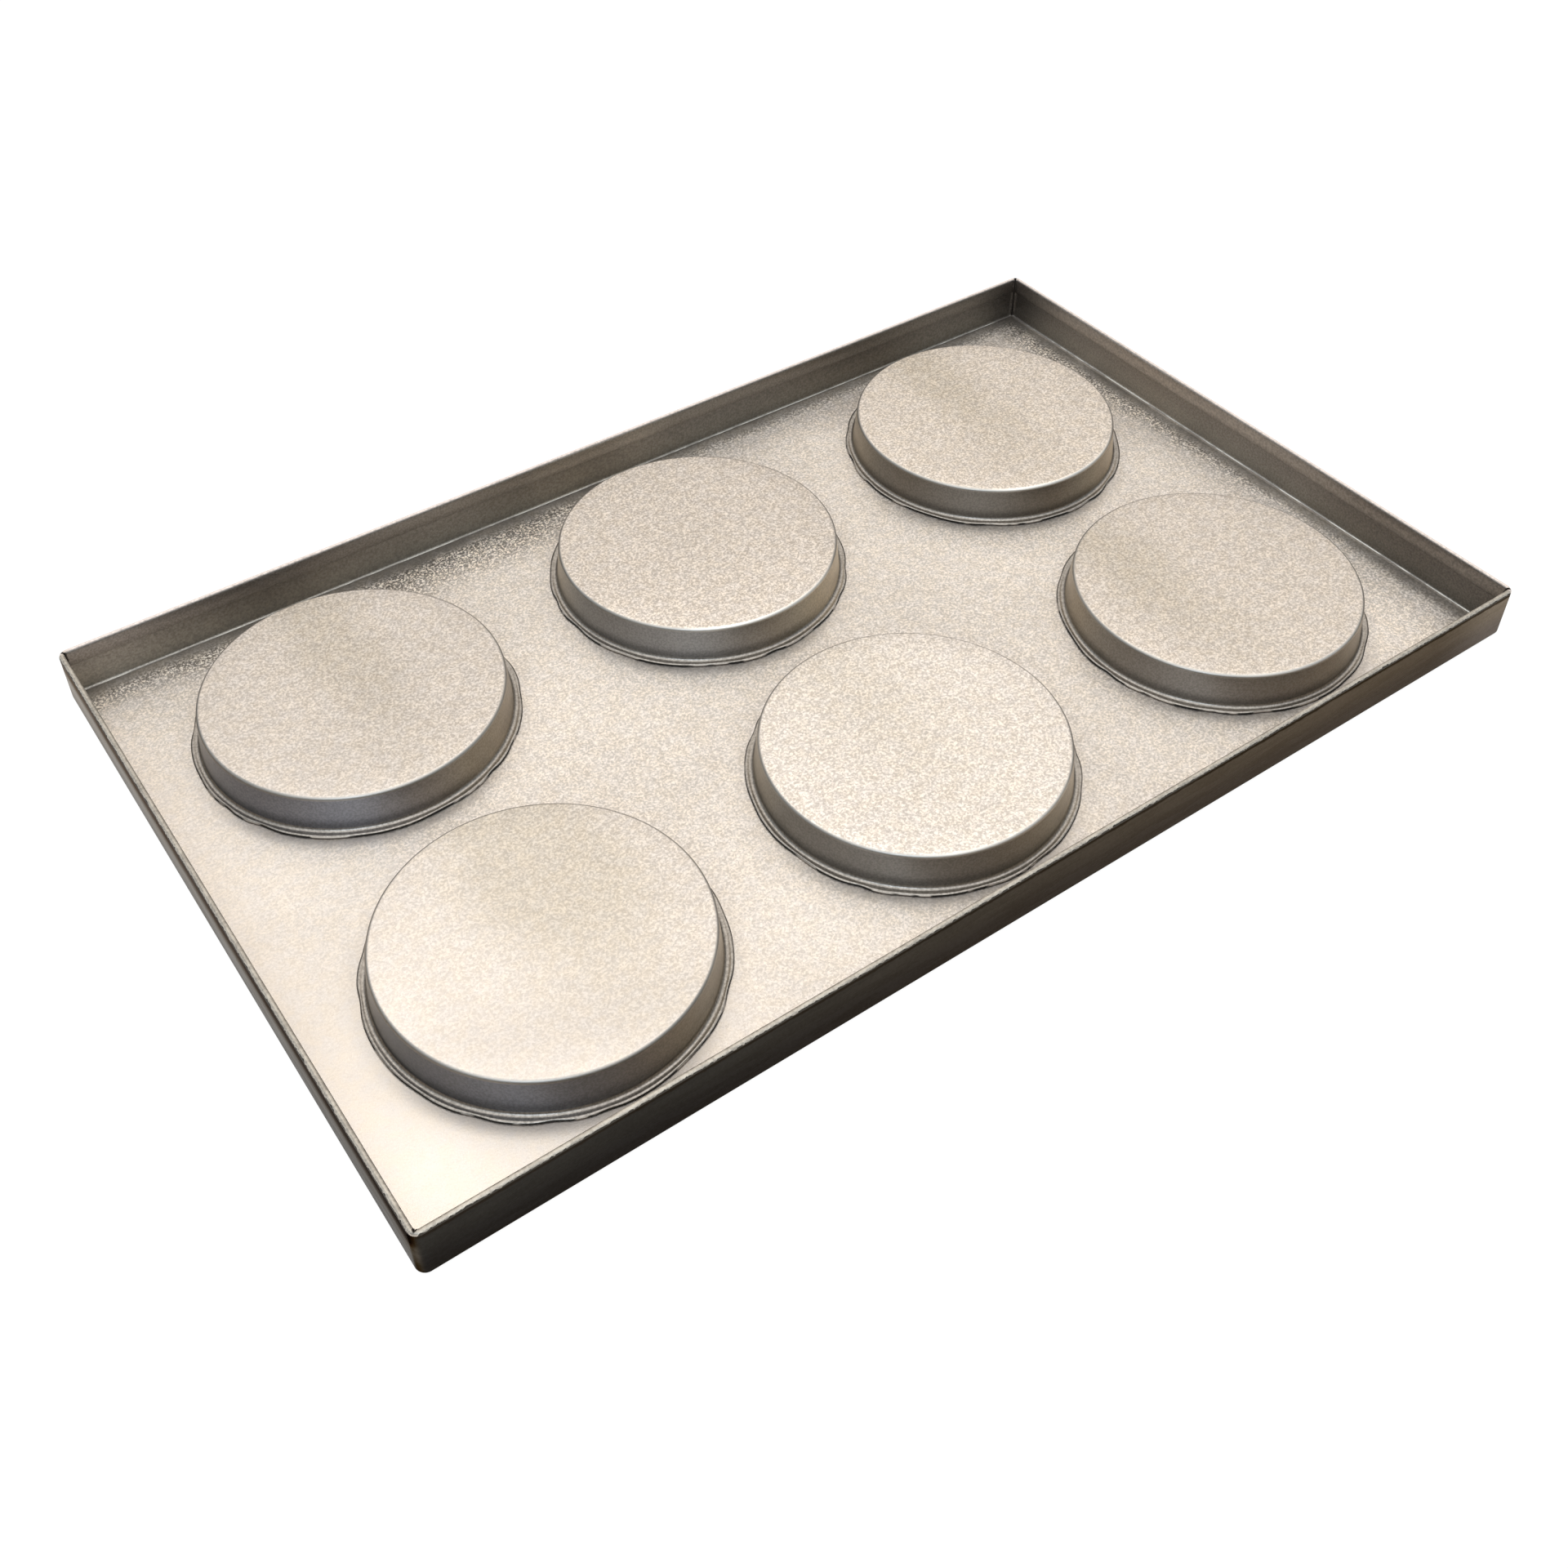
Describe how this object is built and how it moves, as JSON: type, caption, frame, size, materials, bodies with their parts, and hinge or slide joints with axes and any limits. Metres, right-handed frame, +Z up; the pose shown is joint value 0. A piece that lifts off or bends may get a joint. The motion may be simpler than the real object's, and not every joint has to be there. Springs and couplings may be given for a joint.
{
  "type": "gastronorm multi-mould baking tray",
  "caption": "Folded gastronorm sheet-metal baking tray with a hemmed skirt and shallow round drawn moulds seamed into its sheet, shown mould bottoms up.",
  "frame": {"origin": "centre of the flat baking face, which the tray lies on with its skirt and mould bottoms up", "axes": "+X along the long side, +Y along the short side towards the back row, +Z up, from the baking face towards the skirt's hemmed edge"},
  "size_m": [0.53, 0.325, 0.0245],
  "materials": {
    "tray_sheet": "bare aluminised steel, finely mottled, satin",
    "cup": "bare aluminised steel, drawn and burnished on its walls, mottled on its flat bottom"
  },
  "bodies": {
    "root": {"tray_sheet": "tray_sheet", "cup_front_left": "cup", "cup_front_middle": "cup", "cup_front_right": "cup", "cup_back_left": "cup", "cup_back_middle": "cup", "cup_back_right": "cup"}
  },
  "joints": []
}
